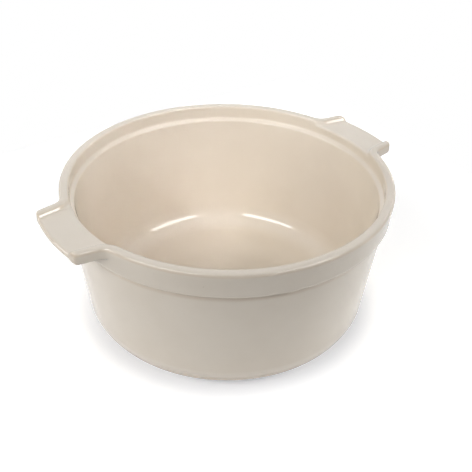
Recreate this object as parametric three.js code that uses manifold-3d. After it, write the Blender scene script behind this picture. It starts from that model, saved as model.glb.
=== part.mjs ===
// A round stoneware souffle dish: a flared bowl with a heavy rim collar, a lid ledge inside
// and two flat handles that open straight into the bowl.
// Millimetres, +Z up. The origin is the middle of the dish on the table, the handles lie along X.

import * as THREE from 'three';
import { mergeVertices } from 'three/addons/utils/BufferGeometryUtils.js';
import Module from 'manifold-3d';

const wasm = await Module();
wasm.setup();

// Overall sizes
const dishHeight = 105.3;
const rimRadius = 112;

// Rim: a rounded lip on top of a slightly tapered collar
const lipRadius = 3.2;
const collarHeight = 18.2;
const collarTaper = 1;
const collarOverhang = 3.2;
const collarEdgeRound = 3.4;
const collarEdgeStart = -70;

// Lid ledge inside the rim, a sloping step
const ledgeDepth = 8.8;
const ledgeDrop = 2.9;

// Bowl
const wallLean = THREE.MathUtils.degToRad(6.5);
const wallThickness = 5.8;
const baseRound = 20;
const floorTop = 6.5;
const floorFillet = 17;

// Foot
const footHeight = 1.5;
const footWidth = 7;
const footSetIn = 0.6;
const footChamfer = 0.4;

// Handles: a plate between two ridges that grow out of the lip
const handleWidth = 60.4;
const handleProjection = 16.4;
const handleFlare = THREE.MathUtils.degToRad(8.3);
const handleDepth = 7.6;
const plateDrop = 3;
const plateEdgeRound = 2;
const ridgeCrown = 0.8;
const rootRadius = 8;
const seatMargin = THREE.MathUtils.degToRad(2);

// Luting gap left where one piece is cut to fit another
const jointGap = 0.3;

// Fineness of round shapes
const turnSteps = 72;
const arcSteps = 8;
const planSteps = 5;
const bevelSteps = 2;

// Levels and radii that follow from the sizes
const lipCentreRadius = rimRadius - lipRadius;
const lipCentreHeight = dishHeight - lipRadius;
const bandRadius = rimRadius - 2 * lipRadius;
const ledgeTop = dishHeight - ledgeDepth;
const ledgeBottom = ledgeTop - ledgeDrop;
const collarBottom = dishHeight - collarHeight;
const collarLowRadius = rimRadius - collarTaper;
const wallTopRadius = collarLowRadius - collarOverhang;
const handleReach = rimRadius + handleProjection;
const plateTop = dishHeight - plateDrop;
const handleBottom = dishHeight - handleDepth;
const plateMiddle = (plateTop + handleBottom) / 2;
const baseTop = floorTop + floorFillet;
const leanDegrees = THREE.MathUtils.radToDeg(wallLean);

const wallOuterAt = (z) => wallTopRadius - (collarBottom - z) * Math.tan(wallLean);
const wallInnerAt = (z) => wallOuterAt(z) - wallThickness;

// Points of an arc about [r, z], from one angle to another in degrees
function arcPoints(r, z, radius, from, to) {
  const points = [];
  for (let i = 0; i <= arcSteps; i += 1) {
    const angle = THREE.MathUtils.degToRad(from + ((to - from) * i) / arcSteps);
    points.push([r + radius * Math.cos(angle), z + radius * Math.sin(angle)]);
  }
  return points;
}

// A geometry turned about the dish's axis from an anticlockwise outline of [radius, height] points
function turned(outline) {
  const points = outline.map(([r, z]) => new THREE.Vector2(r, z));
  const geometry = new THREE.LatheGeometry(points, turnSteps);
  geometry.rotateX(Math.PI / 2);
  return geometry;
}

// A closed geometry as a solid that can be cut and joined
function solidOf(geometry) {
  const bare = geometry.clone();
  bare.deleteAttribute('normal');
  bare.deleteAttribute('uv');
  const merged = mergeVertices(bare);
  const mesh = new wasm.Mesh({
    numProp: 3,
    vertProperties: new Float32Array(merged.attributes.position.array),
    triVerts: new Uint32Array(merged.index.array),
  });
  return new wasm.Manifold(mesh);
}

// A cut or joined solid as a geometry again
function geometryOf(solid) {
  const mesh = solid.getMesh();
  const geometry = new THREE.BufferGeometry();
  geometry.setAttribute('position', new THREE.BufferAttribute(mesh.vertProperties, 3));
  geometry.setIndex(new THREE.BufferAttribute(mesh.triVerts, 1));
  geometry.computeVertexNormals();
  return geometry;
}

// Glazed stoneware, and the bare clay that shows only under the foot
const glaze = () => new THREE.MeshStandardMaterial({ color: 0xded3c3, roughness: 0.18, metalness: 0 });
const bareClay = () => new THREE.MeshStandardMaterial({ color: 0xcbb79c, roughness: 0.85, metalness: 0 });

const dish = new THREE.Group();

function addPiece(name, geometry, material) {
  const piece = new THREE.Mesh(geometry, material);
  piece.name = name;
  dish.add(piece);
  return piece;
}

// Base: the floor of the bowl, with the rounding that leads up into the wall
const baseRoundCentre = wallOuterAt(baseRound) - baseRound / Math.cos(wallLean);
const footLimit = baseRoundCentre + Math.sqrt(baseRound ** 2 - (baseRound - footHeight) ** 2);
const footLimitDegrees = -THREE.MathUtils.radToDeg(Math.asin((baseRound - footHeight) / baseRound));
const filletCentre = wallInnerAt(baseTop) - floorFillet / Math.cos(wallLean);

addPiece('dish_base', turned([
  [0, footHeight],
  ...arcPoints(baseRoundCentre, baseRound, baseRound, footLimitDegrees, -leanDegrees),
  [wallOuterAt(baseTop), baseTop],
  [wallInnerAt(baseTop), baseTop],
  ...arcPoints(filletCentre, baseTop, floorFillet, -leanDegrees, -90),
  [0, floorTop],
]), glaze());

// Foot: the low ring that the dish stands on
const footOuter = footLimit - footSetIn;
const footInner = footOuter - footWidth;

addPiece('foot_ring', turned([
  [footInner + footChamfer, 0],
  [footOuter - footChamfer, 0],
  [footOuter, footChamfer],
  [footOuter, footHeight],
  [footInner, footHeight],
  [footInner, footChamfer],
  [footInner + footChamfer, 0],
]), bareClay());

// Side wall: the flared wall of the bowl, whose top end is the lid ledge
addPiece('side_wall', turned([
  [wallInnerAt(baseTop), baseTop],
  [wallOuterAt(baseTop), baseTop],
  [wallOuterAt(ledgeTop), ledgeTop],
  [bandRadius, ledgeTop],
  [wallInnerAt(ledgeBottom), ledgeBottom],
  [wallInnerAt(baseTop), baseTop],
]), glaze());

// Plan of a handle: its ridge touches the rim's circle, a root arc, a side line and the outer edge
const sideStart = new THREE.Vector2(rimRadius, handleWidth / 2);
const sideInward = new THREE.Vector2(-Math.cos(handleFlare), Math.sin(handleFlare));
const sideNormal = new THREE.Vector2(Math.sin(handleFlare), Math.cos(handleFlare));

// Centre of a circle that lies at an offset from the side line and at a distance from the dish's axis
function centreBeside(offset, distance) {
  const start = sideStart.clone().addScaledVector(sideNormal, offset);
  const along = start.dot(sideInward);
  const reach = Math.sqrt(along ** 2 - start.lengthSq() + distance ** 2);
  return start.addScaledVector(sideInward, -along - reach);
}

const rootCentre = centreBeside(rootRadius, rimRadius + rootRadius);
const tipCentre = centreBeside(-lipRadius, handleReach - lipRadius);
const rootTurn = rootRadius + lipRadius;
const rootAngle = rootCentre.angle();
const sideAngle = sideNormal.angle();
const rootStart = rootAngle + Math.PI;
const rootEnd = sideAngle + Math.PI;
const seatAngle = rootAngle + seatMargin;
const beyondSeat = seatAngle + seatMargin;

// A block with the plan of a ring's sector, turned about the axis, to cut with
function sectorBlock(inner, outer, halfAngle, bottom, turn) {
  const shape = new THREE.Shape();
  shape.absarc(0, 0, outer, -halfAngle, halfAngle, false);
  shape.absarc(0, 0, inner, halfAngle, -halfAngle, true);
  const geometry = new THREE.ExtrudeGeometry(shape, {
    depth: dishHeight + lipRadius - bottom,
    bevelEnabled: false,
    curveSegments: planSteps * 2,
  });
  geometry.translate(0, 0, bottom);
  geometry.rotateZ(turn);
  return solidOf(geometry);
}

// A bar with rounded edges, from the handle's underside up; its rounding swells the plan on every side
function roundedBar(shape, top, round) {
  const geometry = new THREE.ExtrudeGeometry(shape, {
    depth: top - handleBottom - 2 * round,
    bevelThickness: round,
    bevelSize: round,
    bevelSegments: bevelSteps,
    curveSegments: planSteps,
  });
  geometry.translate(0, 0, handleBottom + round);
  return solidOf(geometry);
}

// Ridge: the lip carried round the root and out along one side of the handle
function ridge(side) {
  const crown = ridgeCrown / 2;
  const shape = new THREE.Shape();
  const arc = (centre, radius, from, to, clockwise) => {
    const mirrored = side > 0 ? clockwise : !clockwise;
    shape.absarc(centre.x, side * centre.y, radius, side * from, side * to, mirrored);
  };
  const axis = new THREE.Vector2(0, 0);
  arc(axis, lipCentreRadius + crown, beyondSeat, rootAngle, true);
  arc(rootCentre, rootTurn - crown, rootStart, rootEnd, false);
  arc(tipCentre, crown, sideAngle, sideAngle - Math.PI, true);
  arc(rootCentre, rootTurn + crown, rootEnd, rootStart, true);
  arc(axis, lipCentreRadius - crown, rootAngle, beyondSeat, false);
  return roundedBar(shape, dishHeight, lipRadius - crown);
}

// Plate: the flat grip between the ridges, level and open to the inside of the bowl
function plate() {
  const shape = new THREE.Shape();
  const tipAngle = tipCentre.angle();
  shape.absarc(0, 0, bandRadius - plateEdgeRound, beyondSeat, -beyondSeat, true);
  shape.absarc(0, 0, lipCentreRadius, -beyondSeat, -rootAngle, false);
  shape.absarc(rootCentre.x, -rootCentre.y, rootTurn, -rootStart, -rootEnd, true);
  shape.absarc(0, 0, handleReach - plateEdgeRound, -tipAngle, tipAngle, false);
  shape.absarc(rootCentre.x, rootCentre.y, rootTurn, rootEnd, rootStart, true);
  shape.absarc(0, 0, lipCentreRadius, rootAngle, beyondSeat, false);
  return roundedBar(shape, plateTop, plateEdgeRound);
}

// Rim collar: the thick ring that laps over the top of the wall, notched where the handles sit
const handleTurns = { right_handle: 0, left_handle: Math.PI };
const notchAngle = seatAngle + jointGap / lipCentreRadius;
const collarFaceRadius = collarLowRadius - collarEdgeRound;
const collarFoot = [wallOuterAt(collarBottom) + jointGap, collarBottom];

const collarRing = solidOf(turned([
  collarFoot,
  ...arcPoints(collarFaceRadius, collarBottom + collarEdgeRound, collarEdgeRound, collarEdgeStart, 0),
  ...arcPoints(lipCentreRadius, lipCentreHeight, lipRadius, 0, 180),
  [bandRadius, ledgeTop],
  [wallOuterAt(ledgeTop) + jointGap, ledgeTop],
  collarFoot,
]));
const insideCollar = bandRadius - lipRadius;
const outsideHandle = handleReach + lipRadius;
const notches = Object.values(handleTurns).map(
  (turn) => sectorBlock(insideCollar, outsideHandle, notchAngle, handleBottom, turn),
);
addPiece('rim_collar', geometryOf(collarRing.subtract(notches[0]).subtract(notches[1])), glaze());

// Handles: each one fills its notch of the collar, with a shoulder of the rim at both ends
const handleSeat = sectorBlock(bandRadius, outsideHandle, seatAngle, handleBottom, 0);
const aboveRoots = sectorBlock(insideCollar, outsideHandle, rootAngle, plateMiddle, 0);
const shoulders = collarRing.subtract(aboveRoots);
const handleBlank = plate().add(ridge(1)).add(ridge(-1)).add(shoulders);
const handle = geometryOf(handleBlank.intersect(handleSeat));
for (const [name, turn] of Object.entries(handleTurns)) {
  addPiece(name, handle, glaze()).rotation.z = turn;
}

export default dish;
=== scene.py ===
import math

import bmesh
import bpy
from mathutils import Matrix, Vector


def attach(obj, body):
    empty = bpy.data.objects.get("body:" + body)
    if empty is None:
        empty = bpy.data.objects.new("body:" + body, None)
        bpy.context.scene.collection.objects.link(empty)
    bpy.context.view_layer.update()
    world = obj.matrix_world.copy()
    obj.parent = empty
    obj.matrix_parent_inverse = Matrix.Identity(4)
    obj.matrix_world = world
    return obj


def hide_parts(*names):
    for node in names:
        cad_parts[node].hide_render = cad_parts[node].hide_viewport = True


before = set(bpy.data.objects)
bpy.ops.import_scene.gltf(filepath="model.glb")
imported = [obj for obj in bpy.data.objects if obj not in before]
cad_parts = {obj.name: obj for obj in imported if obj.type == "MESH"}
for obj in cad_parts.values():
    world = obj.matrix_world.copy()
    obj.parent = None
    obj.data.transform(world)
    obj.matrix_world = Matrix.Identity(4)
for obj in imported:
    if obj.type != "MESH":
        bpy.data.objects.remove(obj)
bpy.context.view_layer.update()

# Dish base: the floor of the bowl and the rounding that leads up into the wall.
# Stoneware clay pressed in a mould and glazed inside and out, in one piece with the wall.
# Its top edge is cut where both faces of the wall are straight, so the glaze runs on unbroken.
MM = 0.001
MERGE_GAP = 0.01 * MM
SMOOTH_ANGLE = math.radians(40)
TURN_STEPS = 256
WALL_LEAN = math.radians(6.5)
WALL_THICKNESS = 5.8
COLLAR_BOTTOM = 87.1
WALL_TOP_RADIUS = 107.8
BASE_ROUND = 20
FLOOR_TOP = 6.5
FLOOR_FILLET = 17
FLOOR_MARGIN = 0.6
BASE_TOP = FLOOR_TOP + FLOOR_FILLET
UNDERSIDE = 1.5
FLOOR_RINGS = 12
UNDERSIDE_RINGS = 6
BASE_ROUND_STEPS = 28


def wall_outer(height):
    return WALL_TOP_RADIUS - (COLLAR_BOTTOM - height) * math.tan(WALL_LEAN)


def wall_inner(height):
    return wall_outer(height) - WALL_THICKNESS


def arc(radius, height, curve, start, end, steps):
    """Points of an arc about (radius, height), from one angle to another in degrees."""
    turns = [math.radians(start + (end - start) * i / steps) for i in range(steps + 1)]
    return [(radius + curve * math.cos(t), height + curve * math.sin(t)) for t in turns]


def line(start, end, steps):
    """Points of a straight stretch, without its two ends."""
    shares = [i / steps for i in range(1, steps)]
    return [tuple(a + (b - a) * s for a, b in zip(start, end)) for s in shares]


def deselect_all():
    bpy.ops.object.select_all(action="DESELECT")


def turned(name, outline):
    """A piece turned about the dish's axis from a closed outline of (radius, height) in millimetres."""
    deselect_all()
    bpy.ops.mesh.primitive_circle_add(vertices=len(outline), fill_type="NOTHING", enter_editmode=True)
    piece = bpy.context.object
    piece.name = name
    shape = bmesh.from_edit_mesh(piece.data)
    for corner, (radius, height) in zip(shape.verts, outline):
        corner.co = (radius * MM, 0, height * MM)
    bmesh.update_edit_mesh(piece.data)
    bpy.ops.mesh.select_all(action="SELECT")
    bpy.ops.mesh.spin(steps=TURN_STEPS, angle=2 * math.pi, center=(0, 0, 0), axis=(0, 0, 1))
    bpy.ops.mesh.select_all(action="SELECT")
    bpy.ops.mesh.remove_doubles(threshold=MERGE_GAP)
    bpy.ops.mesh.dissolve_degenerate(threshold=MERGE_GAP)
    bpy.ops.mesh.normals_make_consistent(inside=False)
    bpy.ops.object.mode_set(mode="OBJECT")
    bpy.ops.object.shade_smooth_by_angle(angle=SMOOTH_ANGLE)
    return piece


lean = math.degrees(WALL_LEAN)
base_round_centre = wall_outer(BASE_ROUND) - BASE_ROUND / math.cos(WALL_LEAN)
base_round_end = -math.degrees(math.asin((BASE_ROUND - UNDERSIDE) / BASE_ROUND))
fillet_centre = wall_inner(BASE_TOP) - FLOOR_FILLET / math.cos(WALL_LEAN)

dish_base = turned("base", [
    (0, FLOOR_TOP),
    *line((0, FLOOR_TOP), (fillet_centre, FLOOR_TOP), FLOOR_RINGS),
    (fillet_centre - FLOOR_MARGIN, FLOOR_TOP),
    *arc(fillet_centre, BASE_TOP, FLOOR_FILLET, -90, -lean, BASE_ROUND_STEPS),
    (wall_inner(BASE_TOP), BASE_TOP),
    (wall_outer(BASE_TOP), BASE_TOP),
    *arc(base_round_centre, BASE_ROUND, BASE_ROUND, -lean, base_round_end, BASE_ROUND_STEPS),
    *line((base_round_centre, UNDERSIDE), (0, UNDERSIDE), UNDERSIDE_RINGS),
    (0, UNDERSIDE),
])


class Value:
    """One value in a material; + - * and / on it add Math nodes."""

    def __init__(self, finish, socket):
        self.finish = finish
        self.socket = socket

    def maths(self, operation, first, second):
        return self.finish.node("ShaderNodeMath", {"operation": operation}, {0: first, 1: second})

    def __add__(self, other):
        return self.maths("ADD", self, other)

    def __radd__(self, other):
        return self.maths("ADD", other, self)

    def __sub__(self, other):
        return self.maths("SUBTRACT", self, other)

    def __rsub__(self, other):
        return self.maths("SUBTRACT", other, self)

    def __mul__(self, other):
        return self.maths("MULTIPLY", self, other)

    def __rmul__(self, other):
        return self.maths("MULTIPLY", other, self)

    def __truediv__(self, other):
        return self.maths("DIVIDE", self, other)

    def __rtruediv__(self, other):
        return self.maths("DIVIDE", other, self)


class Finish:
    """The nodes of a material or a world, put together from values."""

    def __init__(self, owner, shader="Principled BSDF"):
        owner.use_nodes = True
        self.owner = owner
        self.tree = owner.node_tree
        self.shader = self.tree.nodes[shader]

    def node(self, kind, settings, sockets, output=0):
        """A node of a kind, its settings set first, then the values or links of its sockets."""
        node = self.tree.nodes.new(kind)
        for key, setting in settings.items():
            setattr(node, key, setting)
        for key, value in sockets.items():
            self.feed(node.inputs[key], value)
        return Value(self, node.outputs[output])

    def feed(self, socket, value):
        if isinstance(value, Value):
            self.tree.links.new(value.socket, socket)
        else:
            socket.default_value = value

    def to_shader(self, sockets):
        for key, value in sockets.items():
            self.feed(self.shader.inputs[key], value)

    def place(self):
        return self.node("ShaderNodeTexCoord", {}, {}, "Object")

    def noise(self, place, scale, detail):
        return self.node("ShaderNodeTexNoise", {}, {"Vector": place, "Scale": scale, "Detail": detail}, "Fac")

    def bump(self, strength, distance, height):
        sockets = {"Strength": strength, "Distance": distance, "Height": height}
        return self.node("ShaderNodeBump", {}, sockets)

    def step(self, value, low, high):
        """0 at low, 1 at high, smooth between; a low above high makes it fall."""
        settings = {"interpolation_type": "SMOOTHSTEP"}
        return self.node("ShaderNodeMapRange", settings, {"Value": value, "From Min": low, "From Max": high})

    def band(self, value, start, full, fading, end):
        """1 between full and fading, 0 before start and after end, smooth between."""
        return self.step(value, start, full) * self.step(value, end, fading)

    def blend(self, share, first, second):
        return self.node("ShaderNodeMix", {"data_type": "RGBA"}, {0: share, 6: first, 7: second}, 2)


# Heights and radii of the places where the glaze changes or where shade and a highlight are painted, in
# millimetres, in the order of step and band
RIM_EDGE_HEIGHTS = (102.6, 103.4, 104.4, 105)
RIM_EDGE_RADII = (110.2, 111.4)
HANDLE_EDGE_RADII = (126.2, 128.2)
COLLAR_EDGE_HEIGHTS = (86.8, 87.6, 88.4, 89.6)
COLLAR_EDGE_RADII = (109.5, 110.5)
# Painted shade: a darker clay tone on the wall just under the collar's overhang
PAINTED_COLLAR_SHADE_HEIGHTS = (81.5, 84.8, 87.4, 88.4)
PAINTED_COLLAR_SHADE_RADII = (105.5, 106.5)
# Painted highlight: a paler band on the base's rounding above its bottom edge
PAINTED_BASE_HIGHLIGHT_HEIGHTS = (13.5, 14.8, 16.5, 19.5)
BASE_EDGE_HEIGHTS = (13.5, 11.2)
BASE_OUTSIDE_RADII = (88.5, 89.2)
BASE_OUTSIDE_FLARE = 0.35
BOWL_CORNER_HEIGHTS = (16.5, 7.5)
BOWL_CORNER_RADII = (72, 82)
# How thin the glaze runs on the edges, from 0 to 1
RIM_EDGE_THIN = 0.5
HANDLE_EDGE_THIN = 0.5
COLLAR_EDGE_THIN = 0.3


def glaze_finish():
    """Warm off-white glossy glaze: faintly cloudy, with clay showing through where it is thin.

    It is thin on the rim, on the ends of the handles and on the collar's lower edge, browner at the bottom
    edge, and paler where it pools in the corner of the bowl. Painted shade darkens the wall under the collar,
    and a painted highlight pales a band above the bottom edge.
    """
    glaze = Finish(bpy.data.materials.new("warm_white_glaze"))
    place = glaze.place()
    level = glaze.node("ShaderNodeVectorMath", {"operation": "MULTIPLY"}, {0: place, 1: (1, 1, 0)})
    radius = glaze.node("ShaderNodeVectorMath", {"operation": "LENGTH"}, {0: level}, "Value") / MM
    height = glaze.node("ShaderNodeSeparateXYZ", {}, {"Vector": place}, "Z") / MM

    cream = (0.795, 0.711, 0.602, 1)
    pale = (0.825, 0.744, 0.637, 1)
    milk = (0.86, 0.785, 0.69, 1)
    biscuit = (0.76, 0.635, 0.49, 1)
    clay = (0.6, 0.45, 0.3, 1)
    iron = (0.45, 0.34, 0.23, 1)
    cloud = glaze.noise(place, scale=24, detail=3)
    drift = glaze.noise(place, scale=75, detail=2)
    ripple = glaze.noise(place, scale=55, detail=2)
    specks = glaze.step(glaze.noise(place, scale=640, detail=1), 0.77, 0.82)

    rim_edge = glaze.band(height, *RIM_EDGE_HEIGHTS) * glaze.step(radius, *RIM_EDGE_RADII)
    handle_edge = glaze.step(radius, *HANDLE_EDGE_RADII)
    collar_edge = glaze.band(height, *COLLAR_EDGE_HEIGHTS) * glaze.step(radius, *COLLAR_EDGE_RADII)
    thin = rim_edge * RIM_EDGE_THIN + handle_edge * HANDLE_EDGE_THIN + collar_edge * COLLAR_EDGE_THIN
    base_outside = glaze.step(radius - height * BASE_OUTSIDE_FLARE, *BASE_OUTSIDE_RADII)
    base_edge = glaze.step(height, *BASE_EDGE_HEIGHTS) * base_outside
    # Painted highlight: a paler band above the bottom edge, where the floor shows in the glaze
    painted_base_highlight = glaze.band(height, *PAINTED_BASE_HIGHLIGHT_HEIGHTS) * base_outside
    # Painted shade: the wall just under the collar is darkened towards clay
    painted_collar_shade = glaze.band(height, *PAINTED_COLLAR_SHADE_HEIGHTS) * glaze.step(radius, *PAINTED_COLLAR_SHADE_RADII)
    bowl_corner = glaze.step(height, *BOWL_CORNER_HEIGHTS) * glaze.step(radius, *BOWL_CORNER_RADII)

    # Where, the colour's least share, the share that drifts over the surface, and the colour
    changes = [
        (thin, 0.6, 0.8, biscuit),
        (base_edge, 0.4, 0.6, clay),
        (painted_base_highlight, 0.7, 0, milk),
        (painted_collar_shade, 0.2, 0.3, clay),
        (bowl_corner, 0.1, 0.4, milk),
        (specks, 0.22, 0, iron),
    ]
    colour = glaze.blend(glaze.step(cloud, 0.3, 0.7), cream, pale)
    for where, least, drifting, tint in changes:
        colour = glaze.blend(where * (drift * drifting + least), colour, tint)
    glaze.to_shader({
        "Base Color": colour,
        "Roughness": cloud * 0.02 + 0.02,
        "Normal": glaze.bump(strength=0.05, distance=0.4 * MM, height=ripple),
        "IOR": 1.52,
    })
    return glaze.owner


glaze = glaze_finish()


def finished(piece, material, node):
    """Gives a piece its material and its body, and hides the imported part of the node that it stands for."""
    piece.data.materials.clear()
    piece.data.materials.append(material)
    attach(piece, "root")
    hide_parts(node)


finished(dish_base, glaze, "dish_base")

# Foot ring: the low ring under the base that the dish stands on.
# The same clay, wiped free of glaze before firing, so that it doesn't stick to the kiln shelf.
FOOT_OUTER = 87.03
FOOT_WIDTH = 7
FOOT_ROUND = 0.5
FOOT_ROUND_STEPS = 6
FOOT_RINGS = 4
foot_inner = FOOT_OUTER - FOOT_WIDTH

foot_ring = turned("foot", [
    (foot_inner, UNDERSIDE),
    *arc(foot_inner + FOOT_ROUND, FOOT_ROUND, FOOT_ROUND, -180, -90, FOOT_ROUND_STEPS),
    *line((foot_inner + FOOT_ROUND, 0), (FOOT_OUTER - FOOT_ROUND, 0), FOOT_RINGS),
    *arc(FOOT_OUTER - FOOT_ROUND, FOOT_ROUND, FOOT_ROUND, -90, 0, FOOT_ROUND_STEPS),
    (FOOT_OUTER, UNDERSIDE),
])


def bare_clay_finish():
    """Fired stoneware without glaze: dry, buff and finely grained, with a few dark specks."""
    clay = Finish(bpy.data.materials.new("bare_stoneware"))
    place = clay.place()
    buff = (0.50, 0.38, 0.26, 1)
    sandy = (0.62, 0.50, 0.37, 1)
    dark = (0.25, 0.18, 0.12, 1)
    body = clay.noise(place, scale=60, detail=4)
    grain = clay.noise(place, scale=1600, detail=2)
    specks = clay.step(clay.noise(place, scale=1100, detail=1), 0.68, 0.74)
    colour = clay.blend(clay.step(body, 0.35, 0.65), buff, sandy)
    clay.to_shader({
        "Base Color": clay.blend(specks * 0.6, colour, dark),
        "Roughness": grain * 0.15 + 0.75,
        "Normal": clay.bump(strength=0.5, distance=0.2 * MM, height=grain),
    })
    return clay.owner


finished(foot_ring, bare_clay_finish(), "foot_ring")

# Side wall: the flared wall of the bowl, with the sloping ledge for a lid at its top.
# Pressed in one with the base; the edges of the ledge are softened by the sponge and the glaze.
BAND_RADIUS = 105.6
BAND_SEAM = 98.5
LEDGE_TOP = 95.9
LEDGE_BOTTOM = 94.1
LEDGE_ROUND = 1.7
LEDGE_ROUND_STEPS = 6
LEDGE_RUNOUT = 1.4
SEAM_RADIUS = 108.6
SEAM_HEIGHT = 97.35
WALL_RINGS = 24


def softened(before, corner, after, curve):
    """Points of the arc that rounds a corner between two straight stretches."""
    corner = Vector(corner)
    back = (Vector(before) - corner).normalized()
    on = (Vector(after) - corner).normalized()
    half = back.angle(on) / 2
    reach = curve / math.tan(half)
    centre = corner + (back + on).normalized() * (curve / math.sin(half))
    start = corner + back * reach - centre
    turn = start.angle_signed(corner + on * reach - centre)
    points = []
    for i in range(LEDGE_ROUND_STEPS + 1):
        angle = math.atan2(start.y, start.x) - turn * i / LEDGE_ROUND_STEPS
        points.append((centre.x + curve * math.cos(angle), centre.y + curve * math.sin(angle)))
    return points


def inner_face(height):
    return (wall_inner(height), height)


def outer_face(height):
    return (wall_outer(height), height)


band_foot = (BAND_RADIUS, BAND_SEAM)
ledge_high = (BAND_RADIUS, LEDGE_TOP)
ledge_low = inner_face(LEDGE_BOTTOM)
ledge_end = inner_face(LEDGE_BOTTOM - LEDGE_RUNOUT)
inner_foot = inner_face(BASE_TOP)
outer_foot = outer_face(BASE_TOP)
outer_head = outer_face(SEAM_HEIGHT)

side_wall = turned("wall", [
    inner_foot,
    outer_foot,
    *line(outer_foot, outer_head, WALL_RINGS),
    outer_head,
    (SEAM_RADIUS, SEAM_HEIGHT),
    band_foot,
    *softened(band_foot, ledge_high, ledge_low, LEDGE_ROUND),
    *softened(ledge_high, ledge_low, inner_foot, LEDGE_ROUND),
    ledge_end,
    *line(ledge_end, inner_foot, WALL_RINGS),
])
finished(side_wall, glaze, "side_wall")

# Rim collar: the thick ring with the rounded lip that laps over the top of the wall.
# Pressed clay, luted on and sponged smooth. Its lip turns out into the ridges of the handles, so one quarter
# of both is laid out as one skin in sheets of points, mirrored, smoothed and then parted at the handles' seats.
DISH_HEIGHT = 105.3
RIM_RADIUS = 112
LIP_RADIUS = 3.2
LIP_CROWN = 0.4
LIP_CENTRE = RIM_RADIUS - LIP_RADIUS
HANDLE_REACH = 128.4
HANDLE_HALF_WIDTH = 30.2
HANDLE_FLARE = math.radians(8.3)
HANDLE_BOTTOM = 97.7
RIDGE_BOTTOM = 96.4
RIDGE_FOOT = -4.9
RIDGE_FOOT_LIFT = 0.05
PLATE_TOP = 102.3
PLATE_INNER_ROUND = 1.2
BAND_EDGE = PLATE_TOP - PLATE_INNER_ROUND
BAND_MIDDLE = 99.8
ROOT_RADIUS = 8
SEAT_MARGIN = math.radians(2)
TIP_CROWN = 0.3
TIP_UNDERSIDE = 1
RIM_STATIONS = 16
PLATE_COLUMNS = 6
TIP_STEPS = 3
SMOOTH_LEVELS = 2

side_start = Vector((RIM_RADIUS, HANDLE_HALF_WIDTH))
side_out = Vector((math.cos(HANDLE_FLARE), -math.sin(HANDLE_FLARE)))
side_normal = Vector((math.sin(HANDLE_FLARE), math.cos(HANDLE_FLARE)))


def on_circle(start, direction, radius):
    """The point ahead on a line where it crosses a circle about the dish's axis."""
    along = start.dot(direction)
    reach = math.sqrt(along ** 2 - start.length_squared + radius ** 2)
    return start + direction * (reach - along)


def polar(radius, angle):
    return Vector((radius * math.cos(angle), radius * math.sin(angle)))


def bearing(point):
    return math.atan2(point[1], point[0])


def from_axis(point):
    return math.hypot(point[0], point[1])


root_centre = on_circle(side_start + side_normal * ROOT_RADIUS, side_out, RIM_RADIUS + ROOT_RADIUS)
tip_centre = on_circle(side_start - side_normal * LIP_RADIUS, side_out, HANDLE_REACH - LIP_RADIUS)
root_angle = bearing(root_centre)
seat_angle = root_angle + SEAT_MARGIN
root_turn = ROOT_RADIUS + LIP_RADIUS

# Stations along the crest of the lip: round the rim, through the root and out along the ridge
ROOT_SHARES = (0, 0.13, 0.26, 0.36, 0.43, 0.52, 0.62, 0.74, 0.87, 1)
RIDGE_SHARES = (0.25, 0.5, 0.75)
rim_step = (math.pi / 2 - seat_angle) / RIM_STATIONS
rim_angles = [math.pi / 2 - rim_step * i for i in range(RIM_STATIONS + 1)]
stations = [(polar(LIP_CENTRE, angle), polar(1, angle)) for angle in rim_angles]
root_sweep = math.pi / 2 - HANDLE_FLARE - root_angle
for share in ROOT_SHARES:
    normal = polar(1, root_angle + root_sweep * share)
    stations.append((root_centre - normal * root_turn, normal))
ridge_start = stations[-1][0]
for share in RIDGE_SHARES:
    stations.append((ridge_start.lerp(tip_centre, share), side_normal))

# Rows across the lip, as (distance outwards from the crest line, height)
CROWN = [(LIP_CROWN, DISH_HEIGHT), (1.75, 105.26), (2.65, 104.86), (3.08, 104.0), (LIP_RADIUS, 102.7)]
RIM_OUTSIDE = CROWN + [(3.17, 101.2), (3.0, 99.9), (2.9, 98.7), (2.82, HANDLE_BOTTOM)]
RIDGE_OUTSIDE = CROWN + [(3.3, 101.0), (3.35, 99.3), (2.95, 97.3), (1.3, RIDGE_BOTTOM)]
RIM_INSIDE = [(-LIP_CROWN, DISH_HEIGHT), (-1.85, 105.27), (-2.7, 104.94), (-3.1, 104.2), (-LIP_RADIUS, 103.0)]
RIDGE_INSIDE = [(-LIP_CROWN, DISH_HEIGHT), (-1.47, 105.09), (-2.38, 104.48), (-3.05, 103.6), (-3.7, 102.8)]

# Rows over the outer edge of the plate, as (distance outwards from the middle of the ridge's tip, height)
PLATE_EDGE = [(0.9, PLATE_TOP), (1.7, 102.22), (2.4, 101.9), (2.9, 101.3), (3.15, 100.7),
              (3.2, 100.1), (3.1, 99.3), (2.5, 98.25), (1.3, HANDLE_BOTTOM)]

# Rows down the outside of the collar, as (radius, height); the last ones run down into the wall
FACE_RADIUS = LIP_CENTRE + RIM_OUTSIDE[-1][0]
COLLAR_FACE = [(111.45, 95.5), (111.35, 94.2), (111.2, 92.2), (111.05, 89.9), (110.85, 88.5), (110.2, 87.5),
               (109.2, COLLAR_BOTTOM), (108.2, 87.0), outer_face(86.7), (wall_outer(86.2) - 0.05, 86.2),
               (wall_outer(85.2) - 0.2, 85.2)]


def blended(first, second, share):
    return [tuple(a + (b - a) * share for a, b in zip(p, q)) for p, q in zip(first, second)]


def within(share):
    return min(1, max(0, share))


def crossing(centre, normal, radius):
    """How far from a crest point, along its normal, a circle about the dish's axis lies."""
    along = centre.dot(normal)
    room = along ** 2 - centre.length_squared + radius ** 2
    return math.sqrt(room) - along if room > 0 else -math.inf


def plate_height(radius):
    """Height of the plate's top, which rounds down into the bowl at its inner edge."""
    short = BAND_RADIUS + PLATE_INNER_ROUND - radius
    if short <= 0:
        return PLATE_TOP
    return BAND_EDGE + math.sqrt(max(0, PLATE_INNER_ROUND ** 2 - short ** 2))


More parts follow.
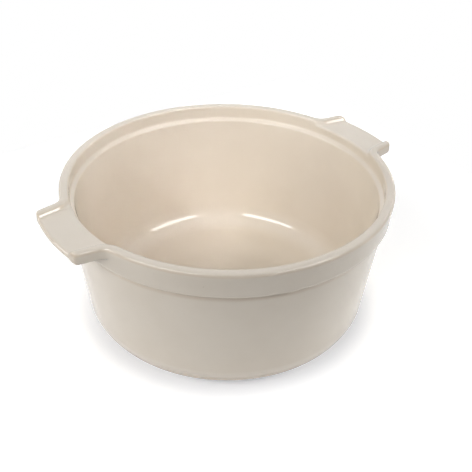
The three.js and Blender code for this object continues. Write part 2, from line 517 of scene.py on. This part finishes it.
rim_low = RIM_OUTSIDE[-1][0]
ridge_low = RIDGE_OUTSIDE[-1][0]
outside, inside, feet = [], [], []
last_on_face, last_on_band = 0, 0
for i, (centre, normal) in enumerate(stations):
    low = max(crossing(centre, normal, FACE_RADIUS), ridge_low)
    if low > ridge_low:
        last_on_face = i
    rows = blended(RIM_OUTSIDE, RIDGE_OUTSIDE, within((rim_low - low) / (rim_low - ridge_low)))
    outside.append([(*(centre + normal * d), z) for d, z in rows])
    foot = max(crossing(centre, normal, BAND_RADIUS), RIDGE_FOOT)
    rows = blended(RIM_INSIDE, RIDGE_INSIDE, within((LIP_RADIUS + foot) / (LIP_RADIUS + RIDGE_FOOT)))
    inside.append([(*(centre + normal * d), z) for d, z in rows])
    foot_point = centre + normal * foot
    if foot > RIDGE_FOOT:
        last_on_band = i
        feet.append((*foot_point, BAND_EDGE))
    else:
        feet.append((*foot_point, plate_height(foot_point.length) + RIDGE_FOOT_LIFT))

# The rounded tip of the ridge, and the end of the handle from the tip to its middle
tip_bearing = bearing(tip_centre)
side_bearing = bearing(side_normal)
tip_angles = [side_bearing + (tip_bearing - side_bearing) * i / TIP_STEPS for i in range(TIP_STEPS + 1)]
tip_middle = (side_bearing + tip_bearing) / 2
tip_top = (*(tip_centre + polar(TIP_CROWN, tip_middle)), DISH_HEIGHT)
tip_low = (*(tip_centre + polar(TIP_UNDERSIDE, tip_middle)), RIDGE_BOTTOM)
tip_columns = []
for angle in tip_angles:
    column = [(*(tip_centre + polar(d, angle)), z) for d, z in RIDGE_OUTSIDE]
    tip_columns.append([tip_top] + column[1:-1] + [tip_low])

end_columns = []
ridge_tops = RIDGE_INSIDE + [(RIDGE_FOOT, PLATE_TOP + RIDGE_FOOT_LIFT)]
for offset, top in ridge_tops:
    rows = blended(PLATE_EDGE, RIDGE_OUTSIDE, (top - PLATE_TOP) / (DISH_HEIGHT - PLATE_TOP))
    track = side_start + side_normal * (offset - LIP_RADIUS)
    points = [on_circle(track, side_out, tip_centre.length + d) for d, z in rows]
    heights = [top] + [z for d, z in rows[1:]]
    end_columns.append([(*point, z) for point, z in zip(points, heights)])
foot_bearings = [bearing(point) for point in end_columns[-1]]
plate_shares = [1 - column / PLATE_COLUMNS for column in range(1, PLATE_COLUMNS + 1)]
for share in plate_shares:
    end_columns.append([
        (*polar(tip_centre.length + d, turn * share), z) for (d, z), turn in zip(PLATE_EDGE, foot_bearings)
    ])
end_lows = [tip_low] + [column[-1] for column in end_columns]
under_shares = [bearing(low) / bearing(tip_low) for low in end_lows]
under_heights = [low[2] for low in end_lows]

sheets = []


def sheet_of(grid, in_handle):
    """Lays a sheet of quads on rows of points; in_handle says which of its quads belong to the handle."""
    deselect_all()
    rows, columns = len(grid), len(grid[0])
    bpy.ops.mesh.primitive_grid_add(x_subdivisions=columns - 1, y_subdivisions=rows - 1)
    sheet = bpy.context.object
    for index, corner in enumerate(sheet.data.vertices):
        row, column = divmod(index, columns)
        corner.co = Vector(grid[row][column]) * MM
    marks = sheet.data.attributes.new("handle", "BOOLEAN", "FACE")
    for index, mark in enumerate(marks.data):
        mark.value = in_handle(*divmod(index, columns - 1))
    sheets.append(sheet)


def columns_to_grid(columns):
    return [list(row) for row in zip(*columns)]


def everywhere(row, column):
    return True


def past_seat(row, column):
    return column >= RIM_STATIONS


def top_past_seat(row, column):
    return row == 0 and past_seat(row, column)


# Outside of the lip and ridge, the tip and the end of the handle
sheet_of(columns_to_grid(outside + tip_columns + end_columns), past_seat)

# Underside of the handle, in arcs from the collar to the outer edge
under_rows = []
for column in outside[last_on_face:]:
    low = column[-1]
    row = [(*polar(from_axis(low), bearing(low) * share), z) for share, z in zip(under_shares, under_heights)]
    under_rows.append([low] + row[1:])
under_rows.append(end_lows)
sheet_of(under_rows, everywhere)

# Outside of the collar, on round below the handle
face_columns = []
face_tops = [column[-1] for column in outside[:last_on_face + 1]] + under_rows[0][1:]
for top in face_tops:
    face_columns.append([top] + [(*polar(radius, bearing(top)), z) for radius, z in COLLAR_FACE])
sheet_of(columns_to_grid(face_columns), top_past_seat)

# Crown and inner side of the lip and ridge
inner_columns = []
for outer, inner, foot in zip(outside, inside, feet):
    inner_columns.append([outer[0]] + inner + [foot])
inner_columns.append([tip_top] + [column[0] for column in end_columns[:len(ridge_tops)]])
sheet_of(columns_to_grid(inner_columns), past_seat)

# Inner band below the lip, on round below the plate's inner edge
band_columns = []
band_bearings = [bearing(foot) for foot in feet[:last_on_band + 1]]
band_bearings += [band_bearings[-1] * share for share in plate_shares]
for turn in band_bearings:
    band_columns.append([(*polar(BAND_RADIUS, turn), z) for z in (BAND_EDGE, BAND_MIDDLE, BAND_SEAM)])
sheet_of(columns_to_grid(band_columns), past_seat)

# Top of the plate, in arcs from the bowl to the outer edge
plate_rows = []
for foot in feet[last_on_band:]:
    radius = from_axis(foot)
    row = [(*polar(radius, bearing(foot) * share), plate_height(radius)) for share in plate_shares]
    plate_rows.append([foot] + row)
plate_rows.append([column[0] for column in end_columns[len(ridge_tops) - 1:]])
sheet_of(plate_rows, everywhere)

# The sheets are joined to one quarter, mirrored to the whole skin and smoothed
deselect_all()
for sheet in sheets:
    sheet.select_set(True)
bpy.ops.object.join()
rim = bpy.context.object
rim.name = "collar"
bpy.ops.object.mode_set(mode="EDIT")
bpy.ops.mesh.select_all(action="SELECT")
bpy.ops.mesh.remove_doubles(threshold=MERGE_GAP)
bpy.ops.mesh.normals_make_consistent(inside=False)
bpy.ops.object.mode_set(mode="OBJECT")
mirror = rim.modifiers.new("halves", "MIRROR")
mirror.use_axis = (True, True, False)
mirror.merge_threshold = MERGE_GAP
bpy.ops.object.modifier_apply(modifier=mirror.name)
smooth = rim.modifiers.new("sponged", "SUBSURF")
smooth.levels = SMOOTH_LEVELS
smooth.render_levels = SMOOTH_LEVELS
bpy.ops.object.modifier_apply(modifier=smooth.name)

# The skin is parted at the seats of the handles
bpy.ops.object.mode_set(mode="EDIT")
bpy.ops.mesh.select_mode(type="FACE")
bpy.ops.mesh.select_all(action="DESELECT")
bpy.ops.object.mode_set(mode="OBJECT")
handle_marks = [mark.value for mark in rim.data.attributes["handle"].data]
rim.data.polygons.foreach_set("select", handle_marks)
bpy.ops.object.mode_set(mode="EDIT")
bpy.ops.mesh.separate(type="SELECTED")
bpy.ops.object.mode_set(mode="OBJECT")
rim.select_set(False)
handle_skins = bpy.context.selected_objects[0]


def select_open_edges():
    bpy.ops.mesh.select_non_manifold(extend=False, use_wire=False, use_multi_face=False,
                                     use_non_contiguous=False, use_verts=False)


def closed(piece, goal, fill):
    """Closes a piece by extruding its open edges and drawing them in to the points that goal gives."""
    deselect_all()
    piece.select_set(True)
    bpy.context.view_layer.objects.active = piece
    bpy.ops.object.mode_set(mode="EDIT")
    bpy.ops.mesh.select_mode(type="EDGE")
    select_open_edges()
    shape = bmesh.from_edit_mesh(piece.data)
    ring = [corner.co.copy() for corner in shape.verts if corner.select]
    bpy.ops.mesh.extrude_edges_indiv()
    shape = bmesh.from_edit_mesh(piece.data)
    for corner in shape.verts:
        if corner.select:
            corner.co = goal(corner.co, ring)
    bmesh.update_edit_mesh(piece.data)
    bpy.ops.mesh.remove_doubles(threshold=MERGE_GAP)
    if fill:
        select_open_edges()
        bpy.ops.mesh.fill()
    bpy.ops.mesh.select_all(action="SELECT")
    bpy.ops.mesh.normals_make_consistent(inside=False)
    bpy.ops.object.mode_set(mode="OBJECT")
    bpy.ops.object.shade_smooth_by_angle(angle=SMOOTH_ANGLE)


def to_collar_seam(place, ring):
    """The point of the hidden ring at the same bearing, in step with the collar's lower edge."""
    lower = [bearing(corner) for corner in ring if corner.z < COLLAR_BOTTOM * MM]
    turn = bearing(place)
    nearest = min(lower, key=lambda other: abs(math.remainder(other - turn, 2 * math.pi)))
    return (*polar(SEAM_RADIUS * MM, nearest), SEAM_HEIGHT * MM)


closed(rim, to_collar_seam, fill=False)
finished(rim, glaze, "rim_collar")

# Handles: two flat plates, each with a raised ridge along both sides, at opposite ends of the dish.
# Pressed clay, luted to the collar and sponged smooth, so their skin is the part of the collar's skin past
# the seats; each is closed at its seat by drawing the open edge in to two hidden rings.
OUTER_SEAT_RADIUS = 109.5
OUTER_SEAT_HEIGHT = 97
INNER_SEAT_RADIUS = 107.5
INNER_SEAT_HEIGHT = 97.8

bpy.context.view_layer.objects.active = handle_skins
deselect_all()
handle_skins.select_set(True)
bpy.ops.object.mode_set(mode="EDIT")
bpy.ops.mesh.separate(type="LOOSE")
bpy.ops.object.mode_set(mode="OBJECT")
left_handle, right_handle = sorted(bpy.context.selected_objects, key=lambda piece: piece.bound_box[0][0])
left_handle.name = "handle_left"
right_handle.name = "handle_right"


def to_handle_seam(place, ring):
    """The point at the same bearing on one of two hidden rings, for the outer and inner half."""
    turn = bearing(place)
    if from_axis(place) > LIP_CENTRE * MM:
        return (*polar(OUTER_SEAT_RADIUS * MM, turn), OUTER_SEAT_HEIGHT * MM)
    return (*polar(INNER_SEAT_RADIUS * MM, turn), INNER_SEAT_HEIGHT * MM)


closed(right_handle, to_handle_seam, fill=True)
closed(left_handle, to_handle_seam, fill=True)
finished(right_handle, glaze, "right_handle")
finished(left_handle, glaze, "left_handle")

# Stage: a sheet of white paper and a white backdrop, which glow only for the rays that show them; near the dish
# the paper's glow fades into a painted shadow.
# Large soft boxes stand at the front left and right and a low one at the left. Fills at the right and overhead
# don't show in the glaze, strips and a back screen show only there, and narrow lamps reach into the bowl.
PAPER_SIZE = 0.6
# Middle and edge of the painted shadow, over which the paper's glow fades near the dish
SHADOW_MIDDLE = (0.0018, -0.0013, 0)
SHADOW_EDGE = (0.092, 0.117)

deselect_all()
bpy.ops.mesh.primitive_plane_add(size=PAPER_SIZE)
floor = bpy.context.object
floor.name = "floor"


def background_rays(finish):
    """1 for the rays that show the background: those of the camera, of mirrors and of glass."""
    kinds = ("Is Camera Ray", "Is Glossy Ray", "Is Transmission Ray")
    camera_rays, mirror_rays, glass_rays = [finish.node("ShaderNodeLightPath", {}, {}, kind) for kind in kinds]
    return camera_rays + mirror_rays + glass_rays


def paper_finish():
    """Matt white paper that glows only for the rays that show it, and less near the dish: a cool-tinted painted
    shadow on top of its real shadow.
    """
    paper = Finish(bpy.data.materials.new("paper"))
    white = (0.94, 0.94, 0.94, 1)
    unlit = (0, 0, 0, 1)
    shaded = (0.22, 0.247, 0.287, 1)
    bright = (0.53, 0.53, 0.53, 1)
    spots = {0: paper.place(), 1: SHADOW_MIDDLE}
    from_middle = paper.node("ShaderNodeVectorMath", {"operation": "DISTANCE"}, spots, "Value")
    # Painted shadow: the glow falls from bright to the cool shaded colour near the dish
    glow = paper.blend(paper.step(from_middle, *SHADOW_EDGE), shaded, bright)
    paper.to_shader({
        "Base Color": white,
        "Roughness": 0.9,
        "Specular IOR Level": 0,
        "Emission Color": paper.blend(background_rays(paper), unlit, glow),
        "Emission Strength": 1,
    })
    return paper.owner


floor.data.materials.append(paper_finish())

backdrop = Finish(bpy.data.worlds.new("studio"), "Background")
bpy.context.scene.world = backdrop.owner
backdrop.to_shader({"Color": background_rays(backdrop), "Strength": 1})

DISH_MIDDLE = Vector((0, 0, 0.06))
BOWL_BACK = Vector((0.062, 0.085, 0.075))
BOWL_LEFT = Vector((0.015, 0.1, 0.06))
NARROW_SPREAD = math.radians(8)
# Name, bearing and elevation in degrees, distance, width and height in metres, watts
SEEN_BOXES = [
    ("left_front", 192, 41, 2.6, 1.9, 0.6, 23),
    ("right_front", 291, 41, 2.6, 1.8, 0.6, 14),
    ("left_low", 149, 15, 2.6, 1.6, 0.8, 20),
]
FILL_BOXES = [
    ("right_low", 344, 15, 2.6, 1.6, 0.8, 24),
    ("right_side", 314, 45, 2.6, 1.6, 1.6, 2.5),
    ("overhead", 54, 84, 2.6, 1.6, 1.6, 10),
]
MIRRORED_BOXES = [
    ("left_strip", 192, 41, 2.55, 1.9, 0.6, 18),
    ("right_strip", 291, 41, 2.55, 1.8, 0.6, 30),
    ("back_screen", 54, 30, 2.6, 4.0, 2.9, 23),
]
NARROW_LAMPS = [
    ("left_narrow", 202, 33, 1.5, 0.15, 0.15, 0.026, BOWL_BACK),
    ("right_narrow", 287, 40, 1.5, 0.15, 0.15, 0.024, BOWL_LEFT),
]


def hang(name, turn, rise, distance, width, height, watts, aim=DISH_MIDDLE):
    """Hangs a soft box about the dish, turned towards a point."""
    lamp = bpy.data.lights.new(name, "AREA")
    lamp.shape = "RECTANGLE"
    lamp.size = width
    lamp.size_y = height
    lamp.energy = watts
    holder = bpy.data.objects.new(name, lamp)
    level = polar(distance * math.cos(math.radians(rise)), math.radians(turn))
    holder.location = DISH_MIDDLE + Vector((*level, distance * math.sin(math.radians(rise))))
    holder.rotation_euler = (aim - holder.location).to_track_quat("-Z", "Y").to_euler()
    bpy.context.scene.collection.objects.link(holder)
    return holder


for box in SEEN_BOXES:
    hang(*box)
for box in FILL_BOXES:
    hang(*box).visible_glossy = False
for box in MIRRORED_BOXES:
    hang(*box).visible_diffuse = False
for box in NARROW_LAMPS:
    narrow = hang(*box)
    narrow.data.spread = NARROW_SPREAD
    narrow.visible_glossy = False

# Camera: it stands at the front left and looks down into the bowl.
# Its place, aim, roll and lens were fitted to the outlines in the photograph together with the dish's profile.
CAMERA_PLACE = Vector((-0.25165, -0.3572, 0.35772))
CAMERA_AIM = Vector((0.00729, -0.00113, 0.052))
CAMERA_ROLL = math.radians(1.425)
CAMERA_LENS = 56.97
SENSOR_WIDTH = 36

camera_data = bpy.data.cameras.new("camera")
camera_data.sensor_width = SENSOR_WIDTH
camera_data.lens = CAMERA_LENS
camera = bpy.data.objects.new("camera", camera_data)
camera.location = CAMERA_PLACE
look = (CAMERA_AIM - CAMERA_PLACE).to_track_quat("-Z", "Y").to_matrix()
camera.rotation_euler = (look @ Matrix.Rotation(CAMERA_ROLL, 3, "Z")).to_euler()
bpy.context.scene.collection.objects.link(camera)
bpy.context.scene.camera = camera
bpy.context.scene.view_settings.view_transform = "Standard"

bpy.context.view_layer.update()
